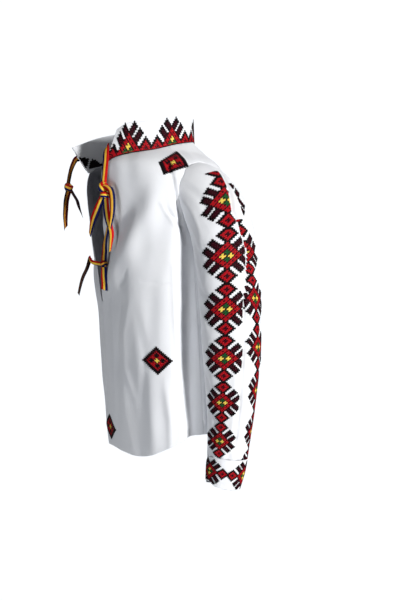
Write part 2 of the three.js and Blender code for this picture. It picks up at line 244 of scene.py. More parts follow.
def addNode(tree, kind, settings=None, values=None, output=0):
    node = tree.nodes.new(kind)
    for name, value in (settings or {}).items():
        setattr(node, name, value)
    for slot, value in (values or {}).items():
        if isinstance(value, Wire):
            tree.links.new(value.socket, node.inputs[slot])
        else:
            node.inputs[slot].default_value = value
    return Wire(tree, node.outputs[output])


def newMaterial(name, colour, roughness, sheen=0.0, specular=0.2):
    material = bpy.data.materials.new(name)
    material.use_nodes = True
    tree = material.node_tree
    shader = tree.nodes['Principled BSDF']
    shader.inputs['Base Color'].default_value = (*colour, 1)
    shader.inputs['Roughness'].default_value = roughness
    shader.inputs['Specular IOR Level'].default_value = specular
    shader.inputs['Sheen Weight'].default_value = sheen
    material.diffuse_color = (*colour, 1)
    return material, tree, shader


def flatPlace(tree):
    place = addNode(tree, 'ShaderNodeUVMap', {"uv_map": "flat"})
    split = addNode(tree, 'ShaderNodeSeparateXYZ', {}, {0: place}).socket.node
    return Wire(tree, split.outputs[0]), Wire(tree, split.outputs[1]), place


def objectPlace(tree):
    return addNode(tree, 'ShaderNodeTexCoord', {}, {}, 3)


# The weight of painted shade kept on each mesh: where it is set, the surface is painted darker as shade.
def paintedShadeOf(tree):
    return addNode(tree, 'ShaderNodeAttribute', {"attribute_name": "wrongSide"}, {}, 2)


def noise(place, scale, detail, roughness=0.5):
    return addNode(place.tree, 'ShaderNodeTexNoise', {},
                   {"Vector": place, "Scale": scale, "Detail": detail, "Roughness": roughness})


def mixed(factor, first, second):
    first, second = ((*colour, 1) if isinstance(colour, tuple) else colour for colour in (first, second))
    return addNode(factor.tree, 'ShaderNodeMix', {"data_type": 'RGBA'}, {0: factor, 6: first, 7: second}, 2)


def finishSurface(tree, shader, colour, roughness, height, strength=0.5):
    bump = addNode(tree, 'ShaderNodeBump', {}, {"Strength": strength, "Distance": 1.0, "Height": height})
    for name, wire in (("Base Color", colour), ("Roughness", roughness), ("Normal", bump)):
        tree.links.new(wire.socket, shader.inputs[name])


cotton = {
    "colour": (0.86, 0.87, 0.885),
    "shade": (0.79, 0.805, 0.85),
    # the colour that the cloth's inner faces are painted, as shade
    "wrongSide": (0.40, 0.41, 0.455),
    "threadsPerMetre": 1150,
    "weaveHeight": 0.00022,
    "slubHeight": 0.0001,
    "crumpleHeight": 0.0011,
}


def makeCotton():
    material, tree, shader = newMaterial("cotton", cotton["colour"], 0.9, 0.15)
    u, v, place = flatPlace(tree)
    onBody = objectPlace(tree)
    turn = math.pi * cotton["threadsPerMetre"]
    weave = ((u * turn).sine() * (v * turn).sine()).size() ** 0.6
    slub = noise(place, 420.0, 2.0)
    cloud = noise(onBody, 9.0, 3.0)
    crumple = noise(onBody, 38.0, 4.0, 0.45)
    tint = (cloud * 1.6 - 0.35) * 0.6 + slub * 0.25 + weave * 0.15
    # Painted shade: the cloth is darkened where the painted-shade weight is set.
    colour = mixed(paintedShadeOf(tree), mixed(tint, cotton["shade"], cotton["colour"]), cotton["wrongSide"])
    height = weave * cotton["weaveHeight"] + slub * cotton["slubHeight"] + crumple * cotton["crumpleHeight"]
    finishSurface(tree, shader, colour, 0.86 + slub * 0.1, height)
    return material


ribbonFinish = {
    "face": ((0.004, 0.009, 0.115), (0.98, 0.62, 0.06), (0.60, 0.006, 0.006)),   # blue, yellow, red
    # the stripes painted in shade, then the painted shadow that darkens them nearly to black
    "wrongSide": ((0.003, 0.004, 0.012), (0.58, 0.235, 0.03), (0.085, 0.003, 0.005)),
    "shadow": (0.004, 0.003, 0.007),
    "edges": (0.345, 0.645),
    "grain": (0.02, 0.01, 0.02),
    "ribsPerMetre": 1400,
    "ribHeight": 0.00012,
}


def makeRibbonSatin():
    material, tree, shader = newMaterial("ribbon_satin", ribbonFinish["face"][1], 0.42, 0.0, 0.08)
    across, along, place = flatPlace(tree)
    share = across * (1 / (ribbon["width"] * millimetre))
    low, high = (share.above(edge) for edge in ribbonFinish["edges"])
    # The face stripes, and the same stripes in painted shade; a weight above 1 darkens them further towards painted
    # shadow.
    face, back = (mixed(high, mixed(low, blue, yellow), red)
                  for blue, yellow, red in (ribbonFinish["face"], ribbonFinish["wrongSide"]))
    side = paintedShadeOf(tree)
    colour = mixed(side - 1.0, mixed(side, face, back), ribbonFinish["shadow"])
    ribs = (along * (2 * math.pi * ribbonFinish["ribsPerMetre"])).sine()
    grain = noise(place, 900.0, 1.0)
    colour = mixed(grain * 0.08, colour, ribbonFinish["grain"])
    finishSurface(tree, shader, colour, 0.34 + grain * 0.2, ribs * ribbonFinish["ribHeight"], 0.4)
    return material


threadColours = {
    "black": (0.006, 0.003, 0.004),
    "maroon": (0.030, 0.002, 0.006),
    "red": (0.38, 0.006, 0.011),
    "green": (0.010, 0.085, 0.022),
    "yellow": (0.84, 0.62, 0.10),
}


def makeThread(name, colour):
    material, tree, shader = newMaterial("thread_" + name, colour, 0.8, 0.0, 0.08)
    strand = noise(objectPlace(tree), 900.0, 2.0)
    dark, light = (tuple(min(1, share * c) for c in colour) for share in (0.72, 1.22))
    finishSurface(tree, shader, mixed(strand, dark, light), 0.5 + strand * 0.25, strand * 0.0002)
    return material


def unit(v):
    return v / np.maximum(np.linalg.norm(v, axis=-1, keepdims=True), 1e-9)


def smoothStep(low, high, value):
    t = np.clip((value - low) / (high - low), 0, 1)
    return t * t * (3 - 2 * t)


# A Catmull-Rom curve through the rows of a table, at places counted in rows.
def through(table, place):
    last = len(table) - 1
    place = np.asarray(place, float)
    i = np.clip(np.floor(place).astype(int), 0, last - 1)
    t = (place - i)[..., None]
    b, c = table[i], table[i + 1]
    a = np.where((i > 0)[..., None], table[np.maximum(i - 1, 0)], 2 * b - c)
    d = np.where((i + 2 <= last)[..., None], table[np.minimum(i + 2, last)], 2 * c - b)
    square, cube = 2 * a - 5 * b + 4 * c - d, 3 * b - a - 3 * c + d
    return 0.5 * (2 * b + (c - a) * t + square * t ** 2 + cube * t ** 3)


def placeOfLevel(table, level):
    levels = table[:, 0]
    i = np.clip(np.searchsorted(-levels, -level, side='left') - 1, 0, len(levels) - 2)
    return i + (levels[i] - level) / (levels[i] - levels[i + 1])


def aroundTurn(angle):
    return (angle + 540) % 360 - 180


def together(first, second):
    return np.broadcast_arrays(np.asarray(first, float), np.asarray(second, float))


def runningLength(points):
    return np.concatenate([[0], np.cumsum(np.linalg.norm(np.diff(points, axis=0), axis=1))])


# Level, half width, how far the front reaches, the depth where it is widest, the back.
bodyTable = np.array([
    [24, 40, 62, 84, 111], [6, 64, 14, 62, 127], [-12, 88, -34, 54, 145], [-24, 114, -67, 52, 156],
    [-37, 136, -80, 52, 162], [-51, 149, -81, 52, 165], [-68, 157, -79, 52, 167], [-95, 161, -75, 52, 168],
    [-130, 165, -71, 52, 167], [-190, 170, -66, 52, 163], [-290, 174, -61, 54, 160],
    [-440, 178, -48, 60, 163], [-560, 181, -37, 68, 169], [-640, 183, -30, 72, 173]], float)

body = {
    "sectionPower": 2.12,
    "stepRound": 1.1,     # degrees
    "stepUp": 3.4,
    "thickness": 0.9,
    "levels": (-612, 22),
    "neckBelow": -44,
    "perDegree": 2.9,     # mm round the body for a degree
}
slitTable = np.array([
    [90, 50], [-34, 50], [-60, 40], [-100, 29], [-150, 21], [-212, 18], [-255, 9], [-296, 1]], float)
gape = {"depth": 13, "spread": 30, "level": -150, "height": 105}
hem = {
    "level": -571,
    "riseAtSide": 46,
    "riseAtBack": 26,
    "sideBetween": (0.5, 1.75),     # radians from the centre front
    "tilt": 4,
    "wave": 1.5,
    "middle": 62,
    "half": (180, 105),
}
seamTable = np.array([[-120, 34], [0, 38], [48, 52], [200, 54], [700, 74]], float)   # minus level, depth

# Broad folds: angle round from the centre front, level, half sizes, lean, depth.
bodyFolds = [
    (16, -470, 7, 120, -0.05, 3.4), (44, -500, 8, 110, 0.03, 2.8), (82, -390, 7.5, 230, 0.016, -24),
    (-26, -480, 8, 120, 0.04, 5), (-62, -440, 9, 150, -0.03, -5), (-82, -390, 7.5, 230, -0.016, -22),
    (140, -400, 9, 190, 0.02, -6), (178, -430, 9, 180, 0, 5), (-146, -410, 9, 180, -0.02, -6),
]

# Creases laid along lines of (angle, level): the line, its half width and its depth in mm.
bodyCreases = [
    ([(75, -50), (77, -95), (80, -140), (83, -185)], 5, -10.5),
    ([(69, -128), (75, -146), (82, -162)], 3.4, -7.0),
    ([(66, -120), (71, -140), (76, -158)], 4, 3.6),
    ([(83, -40), (86, -90), (88, -140)], 9, 3.5),
    ([(5, -272), (20, -234), (38, -180), (54, -134), (68, -90)], 25, 7.5),
    ([(-2, -218), (22, -168), (44, -116)], 24, -7.0),
    ([(12, -300), (11, -350), (8, -420), (6, -500)], 10, 1.8),
    ([(33, -292), (24, -350), (22, -410), (31, -470)], 9, 1.5),
    ([(26, -285), (17, -350), (15, -420)], 6, -1.2),
    ([(46, -255), (60, -259), (76, -256)], 3.5, -1.3),
    ([(24, -262), (30, -250), (33, -236)], 4, -1.4),
    ([(40, -310), (44, -380), (40, -470), (42, -560)], 12, -2.2),
    ([(60, -430), (62, -500), (60, -570)], 9, 2.4),
    ([(73, -230), (72.5, -300), (72.5, -380), (71, -460), (70, -540)], 5, 2.6),
    ([(92, -230), (92, -340), (94, -460), (92, -560)], 9, 3.6),
    ([(-76, -50), (-78, -110), (-80, -165)], 7, -4.4),
    ([(-68, -118), (-74, -140), (-80, -152)], 4, -2.8),
    ([(-10, -300), (-20, -250), (-36, -190), (-56, -126)], 22, 4.2),
    ([(-8, -310), (-10, -400), (-13, -480)], 10, -2.6),
    ([(-34, -300), (-40, -380), (-38, -480), (-42, -560)], 10, 2.8),
    ([(-50, -280), (-54, -370), (-52, -470)], 7, -2.2),
    ([(-93, -240), (-92, -360), (-94, -500)], 9, 3.2),
    ([(112, -80), (124, -130), (133, -190), (138, -260)], 11, -3.6),
    ([(103, -60), (112, -110), (118, -170)], 8, 3.0),
    ([(122, -250), (120, -340), (124, -440), (122, -560)], 11, 3.2),
    ([(158, -30), (157, -90), (160, -180), (158, -270)], 13, 3.4),
    ([(168, -300), (166, -400), (168, -520)], 9, -3.0),
    ([(-114, -84), (-126, -140), (-134, -210)], 11, -3.4),
    ([(-104, -64), (-114, -120), (-121, -190)], 8, 2.6),
    ([(-120, -260), (-123, -360), (-119, -470), (-122, -560)], 10, 3.0),
    ([(-162, -40), (-158, -120), (-163, -230)], 12, 3.0),
    ([(-170, -290), (-172, -400), (-169, -520)], 10, -3.2),
    ([(-134, -470), (-137, -520), (-134, -580)], 8, 2.6),
    ([(150, -330), (164, -336), (176, -330)], 4, -1.2),
]


# Depth of the creases near one set of lines, with their ends let out softly.
def creaseDepth(creases, across, along, scale):
    total = np.zeros_like(across)
    for line, width, depth in creases:
        best = np.full(across.shape, 1e9)
        strength = np.ones_like(across)
        steps = len(line) - 1
        for k in range(steps):
            (a0, l0), (a1, l1) = line[k], line[k + 1]
            dx, dy = aroundTurn(a1 - a0) * scale, l1 - l0
            px, py = aroundTurn(across - a0) * scale, along - l0
            t = np.clip((px * dx + py * dy) / (dx * dx + dy * dy), 0, 1)
            distance = (px - t * dx) ** 2 + (py - t * dy) ** 2
            nearer = distance < best
            best = np.where(nearer, distance, best)
            strength = np.where(nearer, np.sin(np.pi * (0.12 + 0.76 * (k + t) / steps)) ** 0.8, strength)
        total += depth * strength * np.exp(-best / width ** 2)
    return total


def slitHalf(level):
    return np.interp(-level, -slitTable[:, 0], slitTable[:, 1])


# The slow unevenness of cloth that hangs free: height in mm, turns round, rise with the level, start.
slackWaves = [(0.9, 7, 0.011, 0.4), (0.7, 11, -0.017, 2.1), (0.5, 17, 0.006, 4.0),
              (0.45, 5, 0.041, 1.3), (0.3, 23, -0.031, 5.2), (0.25, 9, 0.066, 3.3)]


def slackness(angle, level):
    return sum(height * np.sin(np.radians(angle) * turns + level * rise + start)
               for height, turns, rise, start in slackWaves)


def bodyPoint(angle, level):
    angle, level = together(angle, level)
    _, half, front, wide, back = np.moveaxis(through(bodyTable, placeOfLevel(bodyTable, level)), -1, 0)
    turn = np.radians(angle)
    s, c = np.sin(turn), np.cos(turn)
    power = 2 / body["sectionPower"]
    reach = np.where(c > 0, wide - front, back - wide)
    x = half * np.sign(s) * np.abs(s) ** power
    y = wide - reach * np.sign(c) * np.abs(c) ** power
    away = (x + slitHalf(level)) / gape["spread"]
    along = (level - gape["level"]) / gape["height"]
    y = y - np.where(c > 0, gape["depth"] * np.exp(-away ** 2 - along ** 4), 0)
    out = creaseDepth(bodyCreases, angle, level, body["perDegree"])
    for foldAngle, foldLevel, spread, height, lean, depth in bodyFolds:
        across = aroundTurn(angle - foldAngle - lean * (level - foldLevel)) / spread
        out = out + depth * np.exp(-across ** 2 - ((level - foldLevel) / height) ** 2)
    out = (out + slackness(angle, level)) * smoothStep(8, -30, level)
    return np.stack([x + out * s, y - out * c, level], -1)


def hemLevel(p):
    turn = np.arctan2(p[..., 0] / hem["half"][0], -(p[..., 1] - hem["middle"]) / hem["half"][1])
    away = np.abs(turn)
    side = smoothStep(*hem["sideBetween"], away) * hem["riseAtSide"]
    back = smoothStep(hem["sideBetween"][1], math.pi, away) * (hem["riseAtBack"] - hem["riseAtSide"])
    return hem["level"] + side + back + hem["tilt"] * np.sin(turn) + hem["wave"] * np.cos(5 * turn)


# From the right front end round the back to the left front end.
collarBase = np.array([
    [-51, -84, -33], [-69, -38, -19], [-76, 20, -12], [-50, 92, 3], [0, 118, 13],
    [50, 92, 2], [76, 20, -14], [69, -36, -25], [52, -74, -38]], float)
collarTop = np.array([
    [-52, -110, 6], [-69, -50, 33], [-77, 15, 50], [-50, 90, 57], [0, 116, 59],
    [50, 90, 53], [80, 18, 41], [75, -34, 35], [60, -54, 24]], float)
collar = {
    "thickness": 2.4,
    "rows": 18,
    "steps": 220,
    "height": 55,
    "roundedFrom": 0.985,     # share of its height where the upper edge turns over
    "swell": 0.8,
    "rootWithin": (-0.3, 0.9),
    "tuckedIn": 0.03,
    "lowest": -0.22,
    # painted shade on the collar's inside, growing away from its front end
    "insideShade": (15, 120, 0.05, 0.6),     # mm from its front end, least, how much more
}


def collarPoint(place, height, outwards=0.0):
    place, height = together(place, height)
    base, top = through(collarBase, place), through(collarTop, place)
    d = 0.05
    along = through(collarBase, place + d) - through(collarBase, place - d)
    normal = unit(np.cross(top - base, along))
    return base + (top - base) * height[..., None] + normal * np.asarray(outwards)[..., None]


def insideBody(p):
    row = through(bodyTable, placeOfLevel(bodyTable, p[..., 2]))
    half, front, wide, back = (row[..., k] for k in (1, 2, 3, 4))
    reach = np.where(p[..., 1] < wide, wide - front, back - wide)
    power = body["sectionPower"]
    return np.abs(p[..., 0] / half) ** power + np.abs((p[..., 1] - wide) / reach) ** power < 1


# The height at which the collar leaves the body, a little inside it.
def collarRoot(place):
    low, high = (np.full(place.shape, limit) for limit in collar["rootWithin"])
    for _ in range(30):
        middle = (low + high) / 2
        inside = insideBody(collarPoint(place, middle))
        low, high = np.where(inside, middle, low), np.where(inside, high, middle)
    return np.maximum(low - collar["tuckedIn"], collar["lowest"])


# The middle of each ring and its half sizes, outwards from the body and front to back.
sleeveTable = np.array([
    [92, 52, -60, 30, 38], [130, 77, -85, 45, 54], [164, 91, -122, 50, 57.5], [187, 98, -166, 50, 57],
    [200, 101, -212, 47, 57], [207, 104, -270, 48, 55], [210, 105, -330, 48, 53],
    [212, 105, -385, 46, 50.5], [213, 104, -435, 43, 45.5], [213, 103, -480, 40, 41],
    [213, 100, -522, 36, 37.5], [212, 97, -557, 33, 34.5]], float)
cuffTable = np.array([
    [212, 97, -557.5, 33.2, 34.7], [211.5, 95, -575, 33, 34], [211, 92, -592, 31, 32],
    [210.5, 88, -612, 27, 29]], float)
# The cuff's lower edge: depth and level.
cuffEdge = np.array([[40, -585], [57, -592], [66, -603], [84, -608.5], [110, -612.5], [140, -615]])
sleeve = {
    "stepRound": 2.0,
    "stepAlong": 0.07,
    "thickness": 0.9,
    "shiftOnRight": 0.4,
    "perDegree": 0.87,     # mm round the sleeve for a degree
    "creasePerDegree": 0.9,
}
cuff = {"stepAlong": 0.08, "thickness": 1.3}

# The tuck that runs down the sleeve behind its main band: place along, turn round.
tuckTable = np.array([
    [0.9, -26], [1.5, -19], [2.8, -1], [4.1, -18], [5.3, -2], [6.8, 0], [8.4, 4], [10, 6], [11, 6]], float)
tuckSection = [(-3.4, 0, 4.5), (2.4, 12, 8), (1.6, -12, 8)]   # depth, turn from its middle, half width

# Creases on the sleeve as lines of (turn, place * placeScale).
placeScale = 50
sleeveCreases = [
    ([(62, 1.3), (48, 2.0), (40, 2.9)], 8, -2.6),
    ([(84, 1.6), (72, 2.4), (66, 3.4)], 7, 2.2),
    ([(100, 3.0), (84, 3.9), (78, 4.6)], 7, -2.4),
    ([(108, 4.3), (88, 5.0), (70, 5.2)], 6, -2.2),
    ([(112, 5.0), (92, 5.7), (76, 6.1)], 6, 2.0),
    ([(-66, 4.6), (-50, 5.0), (-38, 5.1)], 6, -2.0),
    ([(-80, 5.6), (-60, 5.9), (-44, 6.3)], 6, -2.2),
    ([(-90, 2.4), (-78, 3.2), (-76, 4.0)], 8, -2.6),
    ([(-112, 6.6), (-84, 6.9), (-62, 7.3)], 6, 2.0),
    ([(104, 7.2), (86, 7.7), (74, 8.4)], 7, -2.0),
    ([(-70, 8.2), (-66, 9.2), (-60, 10.4)], 7, -1.8),
    ([(70, 9.0), (66, 9.8), (64, 10.6)], 5, -1.5),
    ([(96, 8.8), (90, 9.8), (92, 10.7)], 6, 1.6),
    ([(150, 3.0), (146, 4.4), (150, 6.0)], 10, -2.4),
    ([(-150, 3.6), (-154, 5.4), (-148, 7.6)], 10, 2.2),
    ([(170, 6.4), (176, 8.0), (170, 10.0)], 8, -2.0),
]


def armPoint(table, place, turn, outwards=0.0):
    place, turn = together(place, turn)
    row = through(table, place)
    last = len(table) - 1
    ahead = through(table, np.minimum(place + 0.5, last))[..., :3]
    behind = through(table, np.maximum(place - 0.5, 0))[..., :3]
    along = unit(ahead - behind)
    fore = unit(np.array([0, -1, 0.0]) + along * along[..., 1:2])
    out = unit(np.cross(fore, along))
    angle = np.radians(turn)
    return (row[..., :3] + out * ((row[..., 3] + outwards) * np.cos(angle))[..., None]
            + fore * ((row[..., 4] + outwards) * np.sin(angle))[..., None])


def tuckTurn(place):
    return np.interp(place, tuckTable[:, 0], tuckTable[:, 1])


def sleeveFolds(place, turn, shift=0.0):
    creases = [([(t, (p + shift) * placeScale) for t, p in line], width, depth)
               for line, width, depth in sleeveCreases]
    out = creaseDepth(creases, turn, place * placeScale, sleeve["creasePerDegree"])
    near = aroundTurn(turn - tuckTurn(place))
    fade = smoothStep(1.0, 1.6, place) * smoothStep(11, 9.6, place)
    out += fade * sum(depth * np.exp(-((near - at) / width) ** 2) for depth, at, width in tuckSection)
    gather = smoothStep(9.9, 11, place)
    out += gather * (0.9 * np.sin(np.radians(turn) * 13) + 0.6 * np.sin(np.radians(turn) * 7 + 1))
    return out - gather * 0.6


def sleevePoint(place, turn, shift=0.0):
    place, turn = together(place, turn)
    return armPoint(sleeveTable, place, turn, sleeveFolds(place, turn, shift))


def cuffPoint(place, turn):
    place, turn = together(place, turn)
    ease = 0.5 * np.sin(np.radians(turn) * 3 + place) + 0.35 * np.sin(np.radians(turn) * 8 + 2)
    return armPoint(cuffTable, place, turn, ease * smoothStep(0.0, 0.8, place))


# A sheet is its points, its triangles and a flat place for each point.
def gridSheet(points, flat):
    rows, columns = points.shape[:2]
    index = np.arange(rows * columns).reshape(rows, columns)
    a, b, c, d = index[:-1, :-1], index[1:, :-1], index[1:, 1:], index[:-1, 1:]
    faces = np.concatenate([np.stack([a, b, c], -1).reshape(-1, 3), np.stack([a, c, d], -1).reshape(-1, 3)])
    return points.reshape(-1, 3), faces, flat.reshape(-1, 2)


# Keeps the part of a sheet where the field is above zero.
def clipSheet(sheet, field):
    points, faces, flat = sheet
    value = field(points)
    inside = value > 0
    count = inside[faces].sum(1)
    newPoints, newFlat, made, newFaces = [], [], {}, []

    def cut(a, b):
        key = (a, b) if a < b else (b, a)
        if key not in made:
            t = value[key[0]] / (value[key[0]] - value[key[1]])
            made[key] = len(points) + len(newPoints)
            newPoints.append(points[key[0]] * (1 - t) + points[key[1]] * t)
            newFlat.append(flat[key[0]] * (1 - t) + flat[key[1]] * t)
        return made[key]

    for face in faces[(count == 1) | (count == 2)]:
        odd = int(np.flatnonzero(inside[face] == (inside[face].sum() == 1))[0])
        a, b, c = (int(face[(odd + k) % 3]) for k in range(3))
        ab, ac = cut(a, b), cut(a, c)
        newFaces += [[a, ab, ac]] if inside[a] else [[ab, b, c], [ab, c, ac]]
    faces = np.concatenate([faces[count == 3], np.array(newFaces, int).reshape(-1, 3)])
    if newPoints:
        points = np.concatenate([points, newPoints])
        flat = np.concatenate([flat, newFlat])
    used, faces = np.unique(faces, return_inverse=True)
    return points[used], faces.reshape(-1, 3), flat[used]


def signedSide(points, faces, nearness=60.0):
    tree = BVHTree.FromPolygons([tuple(p) for p in points], [tuple(f) for f in faces])

    def field(others):
        value = np.full(len(others), 1e3)
        for k, p in enumerate(others):
            spot, normal, _, _ = tree.find_nearest(p, nearness)
            if spot is not None:
                value[k] = (Vector(p) - spot).dot(normal)
        return value
    return field


# Welds points that coincide and gives the corners their flat places.
def weld(sheet):
    points, faces, flat = sheet
    _, first, back = np.unique(np.round(points, 2), axis=0, return_index=True, return_inverse=True)
    back = back.reshape(-1)
    corners = flat[faces]
    faces = back[faces]
    real = (faces[:, 0] != faces[:, 1]) & (faces[:, 1] != faces[:, 2]) & (faces[:, 0] != faces[:, 2])
    return points[first], faces[real], corners[real]


def faceCrosses(points, faces):
    a, b, c = (points[faces[:, k]] for k in range(3))
    return np.cross(b - a, c - a)


def pointNormals(points, faces):
    weight = faceCrosses(points, faces)
    normals = np.zeros_like(points)
    for k in range(3):
        np.add.at(normals, faces[:, k], weight)
    return unit(normals)


# The edges that one face alone has, each with that face and the corner it starts from.
def openEdges(faces):
    edges = {(face[k], face[(k + 1) % 3]): (f, k) for f, face in enumerate(faces.tolist()) for k in range(3)}
    return {(a, b): spot for (a, b), spot in edges.items() if (b, a) not in edges}


# A closed thin shell: the sheet, the same sheet moved inwards and a wall round its edges.
def shellOf(points, faces, corners, thickness):
    normals = pointNormals(points, faces)
    count = len(points)
    sides, sideCorners = [], []
    for (a, b), (f, k) in openEdges(faces).items():
        u, v = corners[f][k], corners[f][(k + 1) % 3]
        sides += [[b, a, a + count], [b, a + count, b + count]]
        sideCorners += [[v, u, u], [v, u, v]]
    allPoints = np.concatenate([points, points - normals * thickness])
    allFaces = np.concatenate([faces, faces[:, ::-1] + count, np.array(sides, int).reshape(-1, 3)])
    allCorners = np.concatenate([corners, corners[:, ::-1], np.array(sideCorners, float).reshape(-1, 3, 2)])
    return allPoints, allFaces, allCorners


def makeObject(name, points, faces, corners, material, wrongSide=None):
    mesh = bpy.data.meshes.new(name)
    mesh.from_pydata((points * millimetre).tolist(), [], faces.tolist())
    layer = mesh.uv_layers.new(name="flat")
    layer.data.foreach_set("uv", (corners * millimetre).reshape(-1))
    mesh.polygons.foreach_set("use_smooth", [True] * len(mesh.polygons))
    # the weight of painted shade on each point
    if wrongSide is not None:
        mesh.attributes.new("wrongSide", 'FLOAT', 'POINT').data.foreach_set("value", wrongSide)
    mesh.materials.append(material)
    mesh.update()
    return newObject(name, mesh)


def clothArea(points, faces):
    return float(np.linalg.norm(faceCrosses(points, faces), axis=1).sum() / 2) * millimetre ** 2


def mirroredSheet(points, faces, corners):
    return points * np.array([-1, 1, 1]), faces[:, ::-1], corners[:, ::-1]


thread = {
    "thickness": 0.335,     # shares of a stitch's size, as are the next two
    "length": 1.46,
    "over": 0.12,
    "raised": 1.5,     # mm
    "lift": 0.35,
    "loose": 0.05,
    "seed": 7,
}


# Lays a small cross of two short threads on every point.
def crossStitchTree():
    tree = bpy.data.node_groups.new("crossStitch", 'GeometryNodeTree')
    inputs = [("Places", 'Geometry', None), ("Thread Thickness", 'Float', thread["thickness"]),
              ("Looseness", 'Float', thread["loose"]), ("Seed", 'Int', thread["seed"]),
              ("Thread", 'Material', None)]
    for name, kind, value in inputs:
        socket = tree.interface.new_socket(name, in_out='INPUT', socket_type='NodeSocket' + kind)
        if value is not None:
            socket.default_value = value
    tree.interface.new_socket("Stitches", in_out='OUTPUT', socket_type='NodeSocketGeometry')
    source = tree.nodes.new('NodeGroupInput').outputs
    places, thickness, loose, seed, material = (Wire(tree, source[name]) for name, _, _ in inputs)
    cross = tree.nodes.new('GeometryNodeJoinGeometry')
    for turn, lift in ((45, 0.0), (-45, thread["over"])):
        bar = addNode(tree, 'GeometryNodeMeshCylinder', {},
                      {"Vertices": 5, "Depth": thread["length"], "Radius": thickness})
        lying = (0, math.radians(90), math.radians(turn))
        bar = addNode(tree, 'GeometryNodeTransform', {},
                      {0: bar, "Translation": (0, 0, lift), "Rotation": lying})
        tree.links.new(bar.socket, cross.inputs[0])
    stored = 'GeometryNodeInputNamedAttribute'
    facing, along, size = (addNode(tree, stored, {"data_type": 'FLOAT_VECTOR'}, {"Name": name})
                           for name in ("facing", "along", "size"))
    aim = addNode(tree, 'FunctionNodeAxesToRotation', {"primary_axis": 'Z', "secondary_axis": 'X'},
                  {0: facing, 1: along})
    vary = addNode(tree, 'FunctionNodeRandomValue', {"data_type": 'FLOAT'},
                   {2: 1.0 - loose, 3: 1.0 + loose, "Seed": seed}, 1)
    size = addNode(tree, 'ShaderNodeVectorMath', {"operation": 'SCALE'}, {0: size, "Scale": vary})
    cross = Wire(tree, cross.outputs[0])
    laid = addNode(tree, 'GeometryNodeInstanceOnPoints', {},
                   {"Points": places, "Instance": cross, "Rotation": aim, "Scale": size})
    real = addNode(tree, 'GeometryNodeRealizeInstances', {}, {0: laid})
    painted = addNode(tree, 'GeometryNodeSetMaterial', {}, {0: real, "Material": material})
    tree.links.new(painted.socket, tree.nodes.new('NodeGroupOutput').inputs[0])
    return tree


def layStitches(name, tree, places, facing, along, sizes, material):
    mesh = bpy.data.meshes.new(name + "_places")
    mesh.from_pydata((np.asarray(places) * millimetre).tolist(), [], [])
    for key, values in (("facing", facing), ("along", along), ("size", np.asarray(sizes) * millimetre)):
        layer = mesh.attributes.new(key, 'FLOAT_VECTOR', 'POINT')
        layer.data.foreach_set("vector", np.asarray(values, float).reshape(-1))
    holder = newObject(name + "_places", mesh)
    modifier = holder.modifiers.new("stitches", 'NODES')
    modifier.node_group = tree
    sockets = {item.name: item.identifier for item in tree.interface.items_tree if item.in_out == 'INPUT'}
    modifier[sockets["Thread"]] = material
    modifier[sockets["Seed"]] = thread["seed"] + len(places) % 97
    graph = bpy.context.evaluated_depsgraph_get()
    plain = bpy.data.meshes.new_from_object(holder.evaluated_get(graph))
    plain.name = name
    holder.modifiers.remove(modifier)
    bpy.data.objects.remove(holder)
    return newObject(name, plain)


stitchNames = {1: "black", 2: "maroon", 3: "red", 4: "green", 5: "yellow"}


# The large motif of the band: a diamond with barred corners.
def largeMotif(i, j):
    d, q = abs(i) + abs(j), abs(j) - abs(i)
    if d == 8:
        return 1
    if d in (5, 7):
        return 3
    if d == 6:
        return 3 if i % 2 == 0 else 2
    if d < 5:
        if abs(abs(i) - 2) + abs(j) <= 1:
            return 5
        return 4 if abs(i) + abs(abs(j) - 2) <= 1 else 2
    if abs(i) > 12 or abs(j) > 10:
        return 0
    if -1 <= q <= 3 and d <= 17:
        return 1 if q in (-1, 3) or d >= 16 else 2
    if -8 <= q <= -4 and d <= 16:
        return 1 if q in (-8, -4) or d >= 15 else 2
    return 0


def smallMotif(i, j):
    d = abs(i) + abs(j)
    return 0 if d > 5 else 1 if d > 3 else 3 if d > 1 else 2


# The band repeats every 32 rows: one large motif and two small ones between.
def bandStitch(i, j):
    j = (j + 10) % 32 - 10
    return largeMotif(i, j) or smallMotif(i, j - 12) or smallMotif(i, j - 20) or smallMotif(i, j + 12)


# The single diamond: red inside a black edge, with four dark squares round a small yellow cross.
def diamondStitch(i, j):
    a, b = sorted((abs(i), abs(j)))
    d = a + b
    if d > 7:
        return 1 if d < 10 else 0
    if d > 5:
        return 2 if d == 7 else 3
    if a <= 1 and 3 <= b <= 5:
        return 1
    return 5 if d < 2 else 2 if d == 2 else 3


# The two corners of black thread on the collar's wrong side, counted from its front end and base: real stitches, all
# in black to paint the shade they lie in.
def wrongSideStitch(column, row):
    gap = 1.26 * row
    if column < gap - 0.3:
        return int(row <= 7 - 0.27 * column)
    return int(column > gap + 2.2 and row < 5 - 0.75 * max(0, column - 7.6))


# Stitches are gathered for each panel as surface places with their sizes.
class Embroidery:
    def __init__(self, surface, flip=False, lift=thread["lift"]):
        self.surface, self.flip, self.lift = surface, flip, lift
        self.rows = []

    def add(self, code, a, b, da, db):
        if code:
            self.rows.append((code, a, b, da, db))

    def pieces(self, name, tree, mirror=False):
        table = np.array(self.rows, float)
        code, a, b, da, db = table.T
        place = self.surface(a, b)
        across = self.surface(a + da / 2, b) - self.surface(a - da / 2, b)
        up = self.surface(a, b + db / 2) - self.surface(a, b - db / 2)
        facing = unit(np.cross(across, up)) * (-1 if self.flip else 1)
        width = np.linalg.norm(across, axis=1)
        height = np.linalg.norm(up, axis=1)
        along = unit(across)
        place = place + facing * self.lift
        if mirror:
            turnRound = np.array([-1, 1, 1])
            place, facing, along = place * turnRound, facing * turnRound, along * turnRound
        size = np.stack([width, height, np.full(len(width), thread["raised"])], 1)
        made = []
        for number, colour in stitchNames.items():
            chosen = code == number
            if chosen.any():
                rows = (values[chosen] for values in (place, facing, along, size))
                piece = layStitches(name + "_stitch_" + colour, tree, *rows, threads[colour])
                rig.slot(piece, "stitch_" + colour)
                made.append(piece)
        return made


